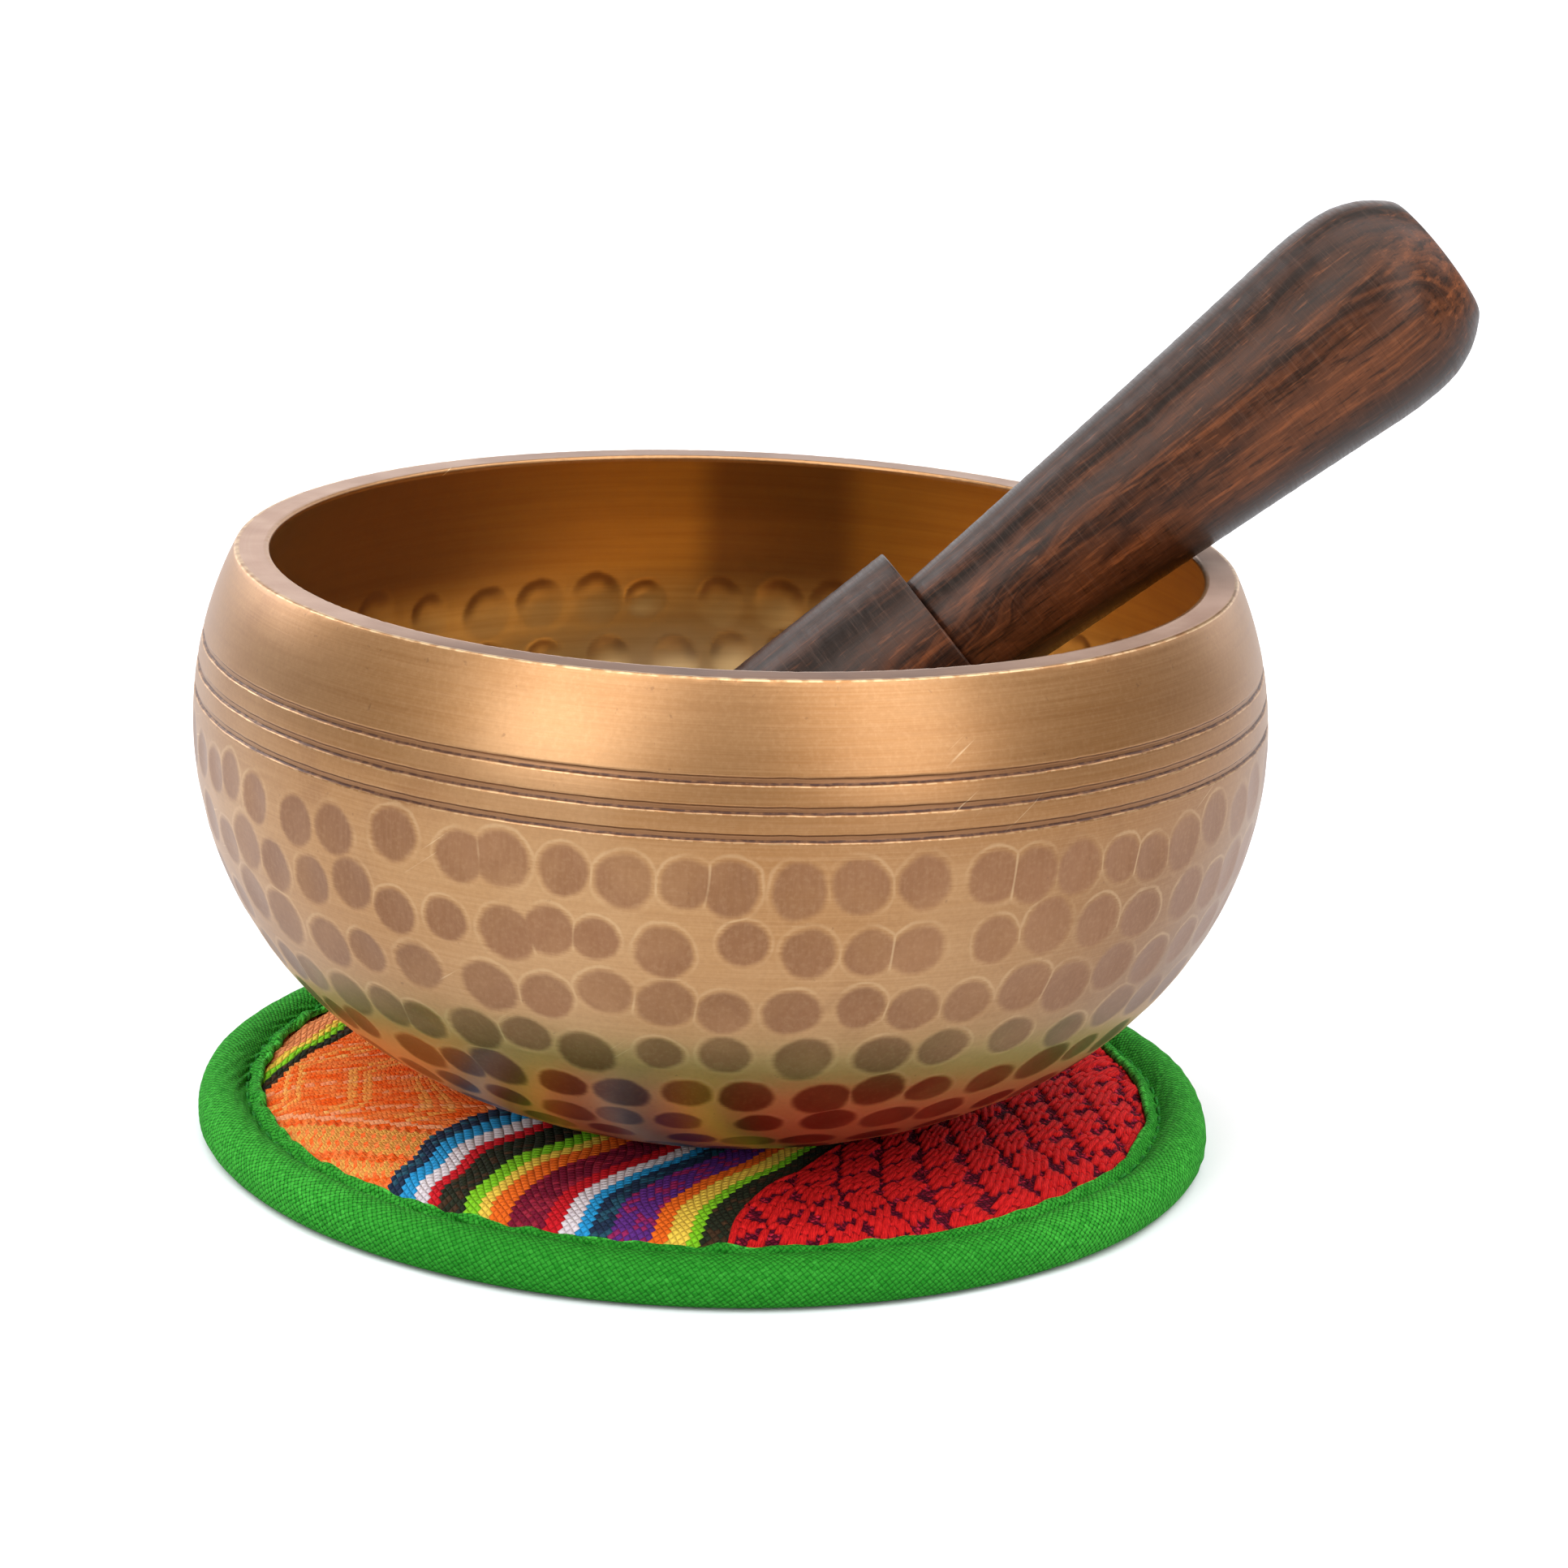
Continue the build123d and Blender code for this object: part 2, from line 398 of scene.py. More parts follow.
def wall_section(wall):
    """Points, normals, kinds and turns from the foot, over the lip and down inside.

    Kinds: 0 outside, 1 the lip's outer corner, 2 its flat top, 3 its inner corner, 4 inside.
    """
    outer_end = wall.turn_at(rim_height - rim_rounding, rim_rounding)
    inner_end = wall.turn_at(rim_height - rim_rounding, wall_thickness - rim_rounding)
    pole, foot_end = 0.004, 0.075
    broad, coarse, fine, hair = 0.03, 0.012, 0.0085, 0.0022
    stops, gaps = [pole, foot_end, wall.turn_at(groove_heights[0] - 1.2)], [broad, fine]
    for height in groove_heights:
        stops += [wall.turn_at(height - 0.6), wall.turn_at(height + 0.7)]
        gaps += [fine, hair]
    outside = spaced([*stops, outer_end], [*gaps, coarse])
    inside = spaced([inner_end, foot_end, pole], [fine * 1.15, broad])[1:]
    outer_corner = wall.at(array([outer_end]), rim_rounding)[0]
    inner_corner = wall.at(array([inner_end]), wall_thickness - rim_rounding)[0]
    outer_bend = facing(linspace(outer_end, pi, 6)[1:])
    inner_bend = facing(linspace(pi, pi + inner_end, 6))
    lip = linspace(outer_corner[0], inner_corner[0], 10)[1:-1] + array([0, rim_rounding])
    inner_points, inner_normals = wall.at(inside, wall_thickness)
    stretches = (
        (*wall.at(outside), outside),
        (outer_corner + rim_rounding * outer_bend, outer_bend, outer_end),
        (lip, np.tile([0.0, 1.0], (len(lip), 1)), outer_end),
        (inner_corner + rim_rounding * inner_bend, inner_bend, outer_end),
        (inner_points, -inner_normals, inside),
    )
    points, normals = (concatenate([stretch[item] for stretch in stretches]) for item in (0, 1))
    kinds = np.repeat(np.arange(5.0), [len(run) for run, _, _ in stretches])
    turns = concatenate([np.full(len(run), turn) for run, _, turn in stretches])
    return points, normals, kinds, turns


def hammer_marks(wall, top, inset, seed, spread=1.0):
    """Uneven marks in rows: length along the wall, angle, half width, half height, tilt, force."""
    rng = np.random.default_rng(seed)
    marks = []
    turns = linspace(0, wall.turn_at(rim_height), 2000)
    lengths = wall.length_to(turns, inset)
    radii = wall.at(turns, inset)[0][:, 0]
    for row_length in np.arange(top, lowest_mark, -mark_row_pitch):
        around = TURN * np.interp(row_length, lengths, radii)
        gaps = []
        while sum(gaps) < around - 3:
            gap = rng.choice(mark_gaps, p=mark_gap_shares) * rng.uniform(0.94, 1.06)
            gaps.append(gap * spread)
        angles = np.cumsum(gaps) / sum(gaps) * TURN + rng.uniform(0, TURN)
        for angle in angles:
            size = mark_half_width * rng.uniform(0.84, 1.08)
            height = size * rng.uniform(0.92, 1.1)
            shift = rng.normal(0, 0.45)
            force = rng.uniform(0.55, 1.25)
            tilt = rng.uniform(-0.5, 0.5)
            marks.append((row_length + shift, angle % TURN, size, height, tilt, force))
    return array(marks)


def mark_places(marks, length, angle, radius):
    """Place of each point in each mark's own frame, where the mark's edge is at 1."""
    across = ((angle[:, None] - marks[:, 1] + pi) % TURN - pi) * radius
    along = length - marks[:, 0]
    cosine, sine = cos(marks[:, 4]), sin(marks[:, 4])
    x = (across * cosine + along * sine) / marks[:, 2]
    y = (along * cosine - across * sine) / marks[:, 3]
    return stack([x, y], -1)


def marks_near(marks, length, reach):
    return marks[abs(marks[:, 0] - length) < reach]


def mark_relief(places, forces, depth, lean):
    """Relief of shallow hammered hollows, deeper at their upper side by the share lean."""
    distance = np.linalg.norm(places, axis=-1)
    hollows = forces * np.clip(1 - distance**2, 0, 1) ** 1.3 * (1 + lean * places[..., 1])
    edge = 0.08 * bell((distance.min(1) - 1.05) / 0.16)
    return depth * (edge - hollows.max(1))


def groove_relief(height):
    """Depth of the turned grooves, flat at the bottom between two short walls."""
    depth = np.zeros_like(height)
    for middle in groove_heights:
        place = height - middle
        groove = np.minimum(smoothstep(place, 0.46, 0.2), smoothstep(place, -0.44, -0.2))
        depth = np.maximum(depth, groove)
    return groove_depth * depth


def make_bowl(material):
    """Hammered wall with real marks, turned grooves and a worn lip."""
    around = 768
    wall = Wall()
    points, normals, kinds, turns = wall_section(wall)
    angle = circle(around)
    walked = np.cumsum([0.0, *np.linalg.norm(np.diff(points, axis=0), axis=1)])
    inner_length = wall.length_to(turns, wall_thickness)
    outer_marks = hammer_marks(wall, outer_mark_top, 0.0, 11)
    inner_marks = hammer_marks(wall, inner_mark_top, wall_thickness, 12, 1.2)
    marked = {  # by kind: marks, length of each row along the wall, depth, lean
        0: (outer_marks, walked, outer_mark_depth, outer_mark_lean),
        4: (inner_marks, inner_length, inner_mark_depth, inner_mark_lean),
    }
    groove_waver, lip_wear, wall_waver = 0.03, 0.035, 0.05
    rows = []
    for row, kind in enumerate(kinds):
        relief = np.zeros(around)
        radius, height = points[row]
        if kind in marked:
            marks, lengths, depth, lean = marked[kind]
            near = marks_near(marks, lengths[row], 8)
            if len(near):
                places = mark_places(near, lengths[row], angle, radius)
                relief += mark_relief(places, near[:, 5], depth, lean)
        if kind == 0:
            relief -= groove_relief(height + groove_waver * ripple(angle, 20, 160, 30))
        if kind in (1, 3):
            nicks = np.clip(ripple(angle, 40, 260, 50 + int(kind), 14), 0, 1)
            relief -= lip_wear * nicks * (0.4 + 0.6 * kind / 3)
        relief += wall_waver * ripple(angle + 0.009 * walked[row], 3, 11, 60)
        outward, upward = normals[row]
        rows.append(polar(radius + relief * outward, angle, height + relief * upward))
    poles = array([[0, 0, points[0, 1]], [0, 0, points[-1, 1]]])
    vertices = concatenate([*rows, poles]) + bowl_centre
    layers = {
        "along": np.append(np.repeat(walked, around), [0, walked[-1]]),
        "kind": np.append(np.repeat(kinds, around), [0, 4]),
    }
    uvs = mark_uvs(points, kinds, marked, angle)
    faces = closed_faces(len(rows), around)
    piece = mesh_object("hammered_bowl", vertices, faces, material, layers, uvs)
    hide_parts("bowl")
    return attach(piece, "bowl")


def mark_uvs(points, kinds, marked, angle):
    """Each face corner's places in the two marks nearest to the face."""
    around = len(angle)
    step = TURN / around
    corner_angle = angle[:, None] + step * array([0, 1, 1, 0])
    maps = np.full((2, len(points) - 1, around, 4, 2), clear_of_marks)
    for row, (kind, next_kind) in enumerate(zip(kinds[:-1], kinds[1:])):
        outside = kind == 0 and next_kind == 0
        inside = kind >= 3 and next_kind == 4
        if not (outside or inside):
            continue
        marks, lengths, _, _ = marked[next_kind]
        low, high = lengths[row], lengths[row + 1]
        middle = (low + high) / 2
        near = marks_near(marks, middle, 9)
        if len(near) < 2:
            continue
        radius = (points[row, 0] + points[row + 1, 0]) / 2
        distance = np.linalg.norm(mark_places(near, middle, angle + step / 2, radius), axis=-1)
        nearest = np.argsort(distance, axis=1)[:, :2]
        for corner, length in enumerate((low, low, high, high)):
            places = mark_places(near, length, corner_angle[:, corner], radius)
            for rank in (0, 1):
                maps[rank, row, :, corner] = places[np.arange(around), nearest[:, rank]]
    closing = np.full((2 * around * 3, 2), clear_of_marks)
    first, second = (concatenate([np.clip(layer, -6, 6).reshape(-1, 2), closing]) for layer in maps)
    return {"mark_a": first, "mark_b": second}


def bronze():
    """Brushed bell bronze: tan ground, browner marks with faint painted highlights on their edges,
    painted shade and a painted highlight in the grooves.
    """
    m = Material("bronze", Metallic=0.92, Anisotropic=0.45, Coat_Roughness=0.34)
    place = m.position()
    x, y, z = place.parts()
    along, kind = m.attribute("along"), m.attribute("kind")
    inside = kind.ramp(3.2, 3.9)
    lip = abs(kind - 2).ramp(0.9, 0.3)
    edge = abs(kind - 1).ramp(0.9, 0.2)
    outside = (1 - inside) * (1 - lip)
    front = y.ramp(-22, -50)
    upper_band = z.ramp(43, 50)
    low = z.ramp(29, 18)

    run = m.combine(x, y, along)
    streaks = m.noise(run, (0.055, 0.055, 5.2), 4, 0.62)
    broad_streaks = m.noise(run, (0.03, 0.03, 0.9), 3, 0.6)
    clouds = m.noise(place, 0.038, 3, 0.55)
    patina = m.noise(place.vector("ADD", (370, 110, 50)), 0.017, 2)
    stains = m.noise(place.vector("ADD", (3100, 1700, 400)), 0.075, 4, 0.6, 0.4)
    grit = m.noise(place, 2.1, 2, 0.6)
    hatch = m.noise(place, (2.6, 2.6, 0.34), 2)

    # Ground: tan with clouds, patina and brushed streaks, paler near the foot
    shaded_side = (x + y * 0.4).ramp(-12, 40) * z.ramp(56, 38)
    ground = m.layers(
        rgb(196, 152, 104),
        (clouds.ramp(0.35, 0.68), 182, 134, 82),
        (patina.ramp(0.45, 0.64) * 0.5, 160, 106, 50),
        (stains.ramp(0.54, 0.74) * 0.5, 148, 100, 58),
        (streaks.ramp(0.3, 0.75) * 0.32, 216, 174, 126),
        (broad_streaks.ramp(0.5, 0.75) * 0.3, 160, 110, 62),
        (upper_band * 0.34, 142, 88, 34),
        (z.ramp(51, 44) * 0.12, 158, 120, 82),
        (shaded_side * outside * 0.5, 116, 80, 50),
        (low * 0.7, 228, 186, 124),
    )

    # Hammer marks, from each corner's places in the two nearest marks
    uv_a = m.uv("mark_a")
    mark_a, mark_b = uv_a.vector("LENGTH"), m.uv("mark_b").vector("LENGTH")
    shape = (m.noise(place, 0.19, 1) - 0.5) * 0.3 + (m.noise(place, 0.52, 2) - 0.5) * 0.16
    fringe = shape + (streaks - 0.5) * 0.16
    near = mark_a.math("MINIMUM", mark_b) + fringe
    far = at_least(mark_a, mark_b) + fringe
    hollow = near.ramp(1.06, 0.8)
    upwards = uv_a.parts()[1] / mark_a
    # Painted highlight: pale rims round the marks, strongest on their upper edges, and pale ridges
    # between marks
    ring = abs(near - 1.09).ramp(0.1, 0.01) * upwards.ramp(-1, 0.7, 0.2, 1)
    painted_ridge_highlight = (far - near).ramp(0.12, 0.02) * near.ramp(1.2, 1)
    pale = at_least(ring * 0.75, painted_ridge_highlight) * m.noise(place, 0.16, 2).ramp(0.32, 0.62)
    mark_colour = m.layers(
        rgb(153, 106, 70),
        (clouds.ramp(0.3, 0.7), 137, 92, 56),
        (hatch.ramp(0.35, 0.65) * 0.12, 176, 134, 100),
        (low * 0.92, 100, 60, 18),
    )

    # Inside: brassy, golden above the marks, with painted dark reflections and shade at the left
    # and behind the mallet
    browner = broad_streaks.ramp(0.25, 0.75) * 0.6 + clouds * 0.4
    golden = m.mix(browner, rgb(196, 142, 48), rgb(168, 112, 32))
    # Painted dark reflection and shade: a dark band at the back and a darker left side, on the
    # inside's upper band
    painted_rear_reflection = abs(x - 6).ramp(11, 6) * y.ramp(10, 30)
    painted_dark_reflection = at_least(painted_rear_reflection * 0.72, x.ramp(-6, -38) * 0.9) * upper_band
    brass = m.layers(
        rgb(218, 174, 98),
        (broad_streaks.ramp(0.3, 0.7), 204, 158, 82),
        (upper_band, golden),
        (painted_dark_reflection, 92, 48, 8),
    )
    # Painted shadow: dark crescents along the upper side of each inner mark
    painted_crescent_shadow = near.ramp(1.1, 0.85) * near.ramp(0.3, 0.8) * upwards.ramp(-0.1, 0.85) * inside
    # Painted light: a pale glow low on the inside, round the lower marks
    painted_lower_glow = inside * z.ramp(45, 36) * clouds.ramp(0.4, 0.6)

    # Lip: greyer and worn, darker brown in front and behind, with bright nicks on its outer edge
    worn_lip = m.noise(place, 0.12, 4).ramp(0.3, 0.7)
    lip_front_and_back = at_least(y.ramp(-32, -52), y.ramp(34, 54) * 0.5)
    lip_colour = m.layers(
        rgb(196, 168, 150),
        (worn_lip, 176, 146, 128),
        (lip_front_and_back * 0.9, m.mix(worn_lip, rgb(118, 76, 40), rgb(94, 58, 30))),
    )
    nicks = m.noise(place, 0.7, 3).ramp(0.38, 0.6)

    # Grooves: painted shade in the troughs and in lines along both walls, a broken painted
    # highlight below
    wander = (m.noise(place, (0.3, 0.3, 0)) - 0.5) * 0.2
    height = z + wander
    crumbs = m.noise(place, (1.4, 1.4, 0.9), 2)
    upper_line = lower_line = painted_groove_shade = bright = height * 0
    for middle in groove_heights:
        offset = height - middle
        painted_groove_shade = at_least(painted_groove_shade, offset.ramp(0.55, 0.05) * offset.ramp(-0.5, -0.3))
        upper_line = at_least(upper_line, abs(offset - 0.3).ramp(0.13, 0.02))
        lower_line = at_least(lower_line, abs(offset + 0.26).ramp(0.17, 0.04))
        bright = at_least(bright, abs(offset + 0.46).ramp(0.11, 0.02))
    # Painted shade: dark lines along both groove walls, the upper one fainter at the front
    line = at_least(lower_line, upper_line * (1 - front * 0.75))

    # Specks, more of them near the rim, and a patch or two of slanted scratches
    specks = m.noise(place, 1.1, 2) + z.ramp(56, 62.4, 0, 0.04)
    slanted = m.combine((x * 0.74 + z * 0.67) * 0.07, (z * 0.74 - x * 0.67) * 4.2, y * 0.03)
    worn = m.noise(place.vector("ADD", (300, 900, 200)), 0.055, 2).ramp(0.6, 0.68)
    scratches = m.noise(slanted, 1, 1).ramp(0.68, 0.76) * worn * outside * (1 - hollow)

    colour = m.layers(
        ground,
        (hollow * (1 - inside) * (stains.ramp(0.3, 0.6) * 0.25 + 0.68), mark_colour),
        # painted highlight on the mark rims and ridges
        (pale * (1 - inside) * 0.4, 226, 192, 146),
        (grit.ramp(0.5, 0.68) * 0.05, 236, 200, 152),
        (grit.ramp(0.5, 0.32) * 0.06, 92, 62, 38),
        (inside * 0.85, brass),
        (painted_crescent_shadow * 0.7, 92, 52, 20),
        (painted_lower_glow * 0.5, 240, 208, 156),
        (lip, lip_colour),
        (edge * nicks * 0.5, 238, 208, 160),
        # painted shade in the grooves, darker at the front, and a painted highlight below them
        (painted_groove_shade * outside * (front * 0.35 + 0.3), 128, 84, 54),
        (line * outside * crumbs.ramp(0.3, 0.6, 0.55, 1), 72, 42, 27),
        (bright * outside * crumbs.ramp(0.6, 0.44) * 0.28, 240, 206, 156),
        (specks.ramp(0.72, 0.8) * outside * 0.4, 118, 80, 52),
        (scratches * 0.55, 246, 220, 176),
    )
    smooth_inside = inside * z.ramp(46, 50)
    roughness = streaks * 0.12 + hollow * 0.04 + line * outside * 0.2 + lip * 0.16
    roughness = roughness + clouds * 0.1 + 0.23 - smooth_inside * 0.02
    roughness = roughness + low * (hollow * -0.14 + 0.16)
    grained = m.bump(grit, 0.01, 0.14, m.bump(streaks, 0.02, 0.3))
    tangent = m.new("ShaderNodeTangent", direction_type="RADIAL", axis="Z")
    m.set(Base_Color=colour, Roughness=roughness, Coat_Weight=(1 - lip) * 0.45)
    return m.set(Normal=grained, Tangent=tangent)


# ---- mallet


def lean_matrix():
    """From the mallet's own frame, +Z from the step towards the grip, to its place on the lip."""
    lean = pi / 2 - mallet_elevation
    turns = ((mallet_azimuth, "Z"), (lean, "Y"), (pi / 2, "Z"))
    return placing(step_place, turns)


def arc_run(start, heading, radius, turn, count):
    """Points on an arc from start along heading, left if turn is positive, and its end heading."""
    side = math.copysign(1.0, turn)
    centre = start + side * radius * array([-sin(heading), cos(heading)])
    angles = heading - side * pi / 2 + linspace(0, turn, count)
    return centre + radius * stack([cos(angles), sin(angles)], -1), heading + turn


def filled(points, gap):
    """The outline with extra points, so that no two are further apart than gap."""
    out = [points[0]]
    for a, b in zip(points[:-1], points[1:]):
        count = max(1, math.ceil(np.linalg.norm(np.subtract(b, a)) / gap))
        out += [np.add(a, np.subtract(b, a) * share) for share in np.arange(1, count + 1) / count]
    return array(out)


def turned(name, outline, seed, material):
    """A turned piece with slight lathe ripple, from an outline of (along, radius) points."""
    around, ring_gap = 192, 0.5999
    matrix = array(lean_matrix())
    outline = filled(outline, ring_gap)
    angle = circle(around)
    along, radius = outline[1:-1, 0:1], outline[1:-1, 1:2]
    wave = ripple(along * 2.4, 1, 3, seed) + ripple(angle + along * 0.02, 2, 7, seed + 1)
    radius = radius + 0.02 * wave * np.clip(radius / 2, 0, 1)
    poles = [[0, 0, outline[0, 0]], [0, 0, outline[-1, 0]]]
    local = concatenate([polar(radius, angle, along).reshape(-1, 3), poles])
    vertices = local @ matrix[:3, :3].T + matrix[:3, 3]
    faces = closed_faces(len(along), around)
    return mesh_object(name, vertices, faces, material, {"grain_at": local})


def make_mallet(material):
    """Striker head with its bore, and the flared handle with its tenon."""
    quarter = pi / 2
    end_start = array([-head_length, head_radius - head_rounding])
    round_end, _ = arc_run(end_start, quarter, head_rounding, -quarter, 8)
    round_step, _ = arc_run(array([-step_rounding, head_radius]), 0.0, step_rounding, -quarter, 5)
    bore, bottom = tenon_radius + bore_clearance, -tenon_length - bore_clearance
    hole = [(0, bore), (bottom, bore), (bottom, 0)]
    head = turned("striker_head", [(-head_length, 0), *round_end, *round_step, *hole], 70, material)
    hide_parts("mallet_head")

    grip, heading = arc_run(array([0, neck_radius]), radians(3.6), 2300, radians(1.27), 90)
    knob, heading = arc_run(grip[-1], heading, 38.7, -radians(8.65), 14)
    shoulder, _ = arc_run(knob[-1], heading, 11.0, -radians(44.6), 22)
    corner = shoulder[-1]
    softened = [corner + array([0.12, -0.22]), corner + array([0.16, -0.55])]
    end_face = [(corner[0] + 0.16, 0)]
    tenon = [(-tenon_length, 0), (-tenon_length, tenon_radius), (0, tenon_radius)]
    outline = [*tenon, *grip, *knob[1:], *shoulder[1:], *softened, *end_face]
    handle = turned("flared_handle", outline, 80, material)
    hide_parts("mallet_handle")
    for piece in (head, handle):
        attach(piece, "mallet")


def rosewood():
    """Oiled rosewood: dark wavy bands along the grain, orange fibres, pores and lathe marks, with
    painted shade on two sides and painted glints on the lathe marks.
    """
    m = Material("rosewood", Specular_IOR_Level=0.32, Specular_Tint=(1, 0.82, 0.7, 1))
    place = m.attribute("grain_at", "Vector")
    x, y, z = place.parts()
    sway = (m.noise(place, (0.06, 0.06, 0.026)) - 0.5) * 9
    ring_radius = m.combine(x + 19 + sway, y * 0.6 + 4 + sway, z * 0.06).vector("LENGTH")
    bands = m.noise(m.combine(ring_radius, z, x), (0.42, 0.009, 0.03), 4, 0.62, 0.5)
    fibres = m.noise(place, (1, 1, 0.052), 4, 0.7)
    dashes = m.noise(place, (2.1, 2.1, 0.26), 2, 0.6)
    turning = m.noise(place, (0.24, 0.24, 4.6), 3, 0.7)
    streak = abs(y - x * 0.2 + 1.5).ramp(4.2, 0.8) * x.ramp(2, -4)
    # Painted shade: the mallet darker on both sides of its lit stripe, most on its lower side
    painted_shade_sides = at_least(y.ramp(-0.5, -9), y.ramp(3.5, 9) * 0.8)
    band_colours = [
        (0.34, 16, 9, 6),
        (0.43, 32, 17, 11),
        (0.5, 54, 29, 18),
        (0.57, 88, 48, 27),
        (0.64, 56, 30, 18),
        (0.74, 34, 18, 12),
    ]
    colour = m.layers(
        m.colours(bands, band_colours),
        (streak * 0.4, 112, 60, 30),
        (fibres.ramp(0.5, 0.7) * (streak * 0.4 + 0.35), 150, 84, 46),
        (fibres.ramp(0.48, 0.3) * 0.85, 12, 7, 5),
        (painted_shade_sides * 0.86, 20, 11, 7),
        (dashes.ramp(0.6, 0.72) * bands.ramp(0.4, 0.56) * 0.26, 150, 88, 52),
        (dashes.ramp(0.42, 0.32) * 0.6, 10, 6, 5),
        # Painted highlight: pale glints along the lathe marks
        (turning.ramp(0.52, 0.7) * 0.1, 128, 92, 72),
        (turning.ramp(0.44, 0.3) * 0.3, 14, 8, 6),
    )
    roughness = turning.ramp(0.35, 0.65) * 0.1 + fibres * 0.1 + 0.25
    grained = m.bump(dashes, 0.02, 0.7, m.bump(turning, 0.012, 0.4))
    return m.set(Base_Color=colour, Roughness=roughness, Normal=grained)


# ---- mat cloth patterns

# All in millimetres on the woven cloth, across its stripes and along them
stripe_start = -24.2
stripes = (
    ("navy", 1.5), ("blue", 1.5), ("white", 1.5), ("red", 1.5), ("black", 2.8),
    ("lime", 1.3), ("yellow", 1.4), ("orange", 2.0), ("maroon", 3.6), ("red", 1.5),
    ("white", 1.55), ("blue", 1.55), ("navy", 1.9), ("purple", 3.7), ("orange", 1.7),
    ("yellow", 1.8), ("lime", 1.4), ("black", 2.85),
)
left_stripes = (("salmon", 4.0), ("yellow", 1.0), ("lime", 1.2), ("black", 1.6))
panel_width = 21.4
stripe_end = stripe_start + sum(width for _, width in stripes)
yarn_colours = {
    "navy": (34, 52, 78),
    "blue": (40, 158, 222),
    "white": (236, 228, 232),
    "red": (214, 26, 38),
    "black": (40, 46, 32),
    "lime": (132, 216, 36),
    "yellow": (255, 216, 78),
    "orange": (255, 112, 30),
    "maroon": (122, 20, 48),
    "purple": (96, 46, 132),
    "salmon": (244, 150, 92),
}
fleck_colours = {
    "navy": (44, 98, 118),
    "black": (78, 52, 34),
    "maroon": (170, 40, 62),
    "purple": (176, 34, 74),
}
yarn = (0.4, 0.72)              # half the width and height of a diamond of yarn
fine_yarn = (0.34, 0.34)        # the same, on the two brocade panels
satin_diamond = (2.8, 5.0)      # half the width and height of a satin diamond
float_width = 0.78


def diamond_cell(p, q, half_size):
    """Centre of the diamond that holds (p, q), in a lattice that fills the plane."""
    half_width, half_height = half_size
    a = floor((p / half_width + q / half_height) / 2 + 0.5)
    b = floor((p / half_width - q / half_height) / 2 + 0.5)
    return (a + b) * half_width, (a - b) * half_height


def bead(p, q, centre, half_size):
    """Height of a yarn's rounded top, from 1 in the diamond's middle to 0 at its edges."""
    away = abs(p - centre[0]) / half_size[0] + abs(q - centre[1]) / half_size[1]
    return at_least(1 - away * away, 0.0)


def satin_float(p, q):
    """Height of the red satin diamonds: floats side by side, as long as their diamond is high."""
    diamond_width, diamond_height = satin_diamond
    centre_p, centre_q = diamond_cell(p, q, satin_diamond)
    across, along = p - centre_p, q - centre_q
    column = floor(across / float_width + 0.5) * float_width
    uneven = repeat(centre_p * 0.37 + centre_q * 0.61 + column * 1.7, 1.0) * 1.8 - 0.9
    half_length = at_least((1 - abs(column) / diamond_width) * diamond_height - 0.7 + uneven, 0.02)
    u = (across - column) / (float_width / 2)
    v = (along - uneven * 0.6) / half_length
    tie = 1 - below(abs(along - uneven * 1.4), 0.18) * (1 - below(half_length, 1.9)) * 0.7
    return root(1 - u * u * 0.82) * root(1 - v * v * v * v) * tie


def upright_strokes(p, q):
    """Place, 0 to 1, across the orange panel's front strokes, which sway from row to row."""
    return repeat(p + abs(repeat(q, 2.4) - 1.2) * 0.35, 1.0)


def zigzag_ribs(p, q):
    """Height, -1 to 1, of the orange panel's ribs: upright in front, slanted behind."""
    upright = abs(upright_strokes(p, q) - 0.5) * 4 - 1
    slanted = abs(repeat(q - 0.6 * p, 1.5) - 0.75) * 2.6 - 1
    in_front = below(q, -24.0)
    return upright * in_front + slanted * (1 - in_front)


def stripe_place(x, y):
    """Place on the woven cloth, across and along its stripes, at a place on the mat."""
    x, y = x - bowl_centre[0], y - bowl_centre[1]
    drag = 7.4 * (1 - smoothstep(hypot(x, y), 15, 38)) * smoothstep(y, -2, -12)
    rear = 0.27 * (y + 5 + hypot(y + 5, 3)) / 2
    waver = 0.14 * sin(y / 3.1 + 0.6) + 0.14 * sin(y / 1.7 + x / 7)
    waver = waver + 0.6 * bell((hypot(x, y) - 43.5) / 3) * smoothstep(x, -8, -24)
    across = 0.978 * (x - drag - rear + waver) - 0.205 * y + 0.35
    along = 0.978 * y + 0.205 * x
    slack = smoothstep(across, 10, 16)
    across = across + slack * 0.5 * sin(along / 4.3 + x / 9)
    along = along + slack * 0.9 * sin(x / 5.1 + y / 11)
    return across, along


# ---- mat


def bowl_underside(radius):
    """Height of the bowl's outside this far from its axis, for the part near its foot."""
    points = Wall().at(linspace(0, 1.2, 600))[0]
    return np.interp(radius, points[:, 0], points[:, 1])


def face_surface(x, y):
    """Height of the padded face: crowned, pulled down at the seam, pressed in by the bowl."""
    radius = hypot(x, y)
    from_bowl = hypot(x - bowl_centre[0], y - bowl_centre[1])
    crown = 0.55 * sin(np.clip((radius - 17) / 30, 0, 1) * pi)
    lumps = 0.1 * sin(x / 4.1 + 1.0) * sin(y / 5.3)
    pucker = 0.16 * ripple(np.arctan2(y, x), 24, 70, 90) * smoothstep(radius, 38, 46)
    sunk = 0.5 * smoothstep(radius, 43.5, 47.2)
    open_height = face_height + crown + lumps * smoothstep(radius, 50, 30) + pucker - sunk
    seat = bowl_underside(from_bowl) - 0.28
    softness = 0.7
    mixed = np.clip(0.5 + 0.5 * (open_height - seat) / softness, 0, 1)
    return open_height * (1 - mixed) + seat * mixed - softness * mixed * (1 - mixed)


